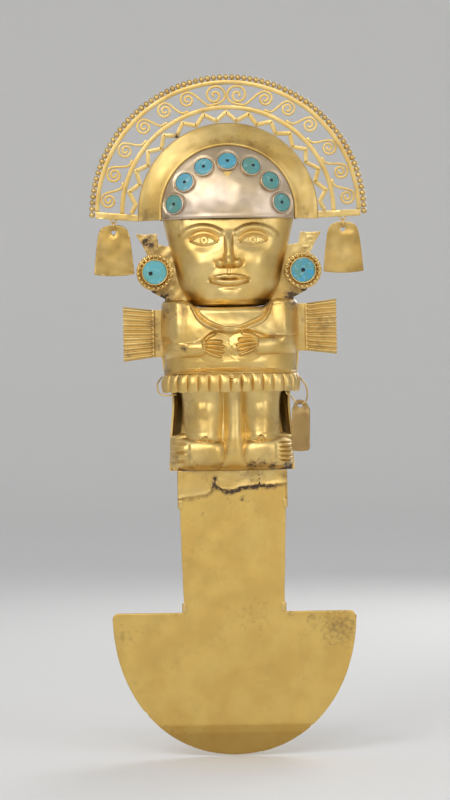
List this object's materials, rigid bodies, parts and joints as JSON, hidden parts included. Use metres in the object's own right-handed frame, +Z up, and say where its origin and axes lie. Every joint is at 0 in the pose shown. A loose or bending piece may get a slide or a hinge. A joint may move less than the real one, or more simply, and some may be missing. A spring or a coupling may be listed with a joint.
{
  "type": "ceremonial knife with figure handle",
  "caption": "Ceremonial knife: crescent blade and flat shaft under a hollow embossed figure with an openwork semicircular crown, turquoise inlays and hanging plates.",
  "frame": {"origin": "on the flat back of the blade, on the centre line, 30 mm below the blade's shoulders", "axes": "+Z up along the knife from the blade to the crown, +X to the viewer's right when facing the figure, +Y out of the back; the face looks along -Y"},
  "size_m": [0.1386, 0.0377, 0.3401],
  "materials": {
    "blade_gold": "hammered and burnished gold alloy, duller towards the edge",
    "sheet_gold": "embossed gold sheet, polished with brown corrosion in the hollows",
    "wire_gold": "gold strip, wire and beads, softly worn",
    "turquoise": "polished turquoise with pale and brown mottling"
  },
  "bodies": {
    "knife": {"blade": "blade_gold", "upper_clips": "sheet_gold", "lower_clips": "sheet_gold", "lower_sleeve": "sheet_gold", "legs_front": "sheet_gold", "back_sheet": "sheet_gold", "torso_front": "sheet_gold", "skirt_fringe": "sheet_gold", "head_front": "sheet_gold", "head_back": "sheet_gold", "ear_plate_left": "sheet_gold", "ear_plate_right": "sheet_gold", "wing_left": "sheet_gold", "wing_right": "sheet_gold", "crown_band": "sheet_gold", "forehead_cap": "sheet_gold", "cap_tab": "sheet_gold", "ear_spool_left": "wire_gold", "ear_spool_right": "wire_gold", "ear_beads_left": "wire_gold", "ear_beads_right": "wire_gold", "cap_bezels": "wire_gold", "zigzag_strip": "wire_gold", "mid_arc": "wire_gold", "outer_arc": "wire_gold", "bead_rim": "wire_gold", "scroll_left_1": "wire_gold", "scroll_left_2": "wire_gold", "scroll_left_3": "wire_gold", "scroll_left_4": "wire_gold", "scroll_left_5": "wire_gold", "scroll_right_1": "wire_gold", "scroll_right_2": "wire_gold", "scroll_right_3": "wire_gold", "scroll_right_4": "wire_gold", "scroll_right_5": "wire_gold", "top_scroll_left": "wire_gold", "top_scroll_right": "wire_gold", "base_bar_left": "wire_gold", "base_bar_right": "wire_gold", "hip_wire": "wire_gold", "left_hip_wire": "wire_gold", "ear_stone_left": "turquoise", "ear_stone_right": "turquoise", "cap_stone_1": "turquoise", "cap_stone_2": "turquoise", "cap_stone_3": "turquoise", "cap_stone_4": "turquoise", "cap_stone_5": "turquoise", "cap_stone_6": "turquoise", "cap_stone_7": "turquoise"},
    "bell_link_left": {"bell_link_left": "wire_gold"},
    "bell_link_right": {"bell_link_right": "wire_gold"},
    "bell_left": {"bell_left": "sheet_gold"},
    "bell_right": {"bell_right": "sheet_gold"},
    "hip_plate": {"hip_plate": "sheet_gold"}
  },
  "joints": [
    {"name": "bell_link_left_swing", "type": "hinge", "parent": "knife", "child": "bell_link_left", "pos_m": [-0.0573, -0.0012, 0.22519], "axis": [1, 0, 0], "range_deg": [-35, 35]},
    {"name": "bell_left_sway", "type": "hinge", "parent": "bell_link_left", "child": "bell_left", "pos_m": [-0.0573, -0.0012, 0.22139], "axis": [0, 1, 0], "range_deg": [-15, 20]},
    {"name": "bell_link_right_swing", "type": "hinge", "parent": "knife", "child": "bell_link_right", "pos_m": [0.0573, -0.0012, 0.2251], "axis": [1, 0, 0], "range_deg": [-35, 35]},
    {"name": "bell_right_sway", "type": "hinge", "parent": "bell_link_right", "child": "bell_right", "pos_m": [0.0573, -0.0012, 0.2213], "axis": [0, 1, 0], "range_deg": [-20, 15]},
    {"name": "hip_plate_sway", "type": "hinge", "parent": "knife", "child": "hip_plate", "pos_m": [0.0343, -0.0114, 0.1336], "axis": [0, 1, 0], "range_deg": [-25, 5]}
  ]
}
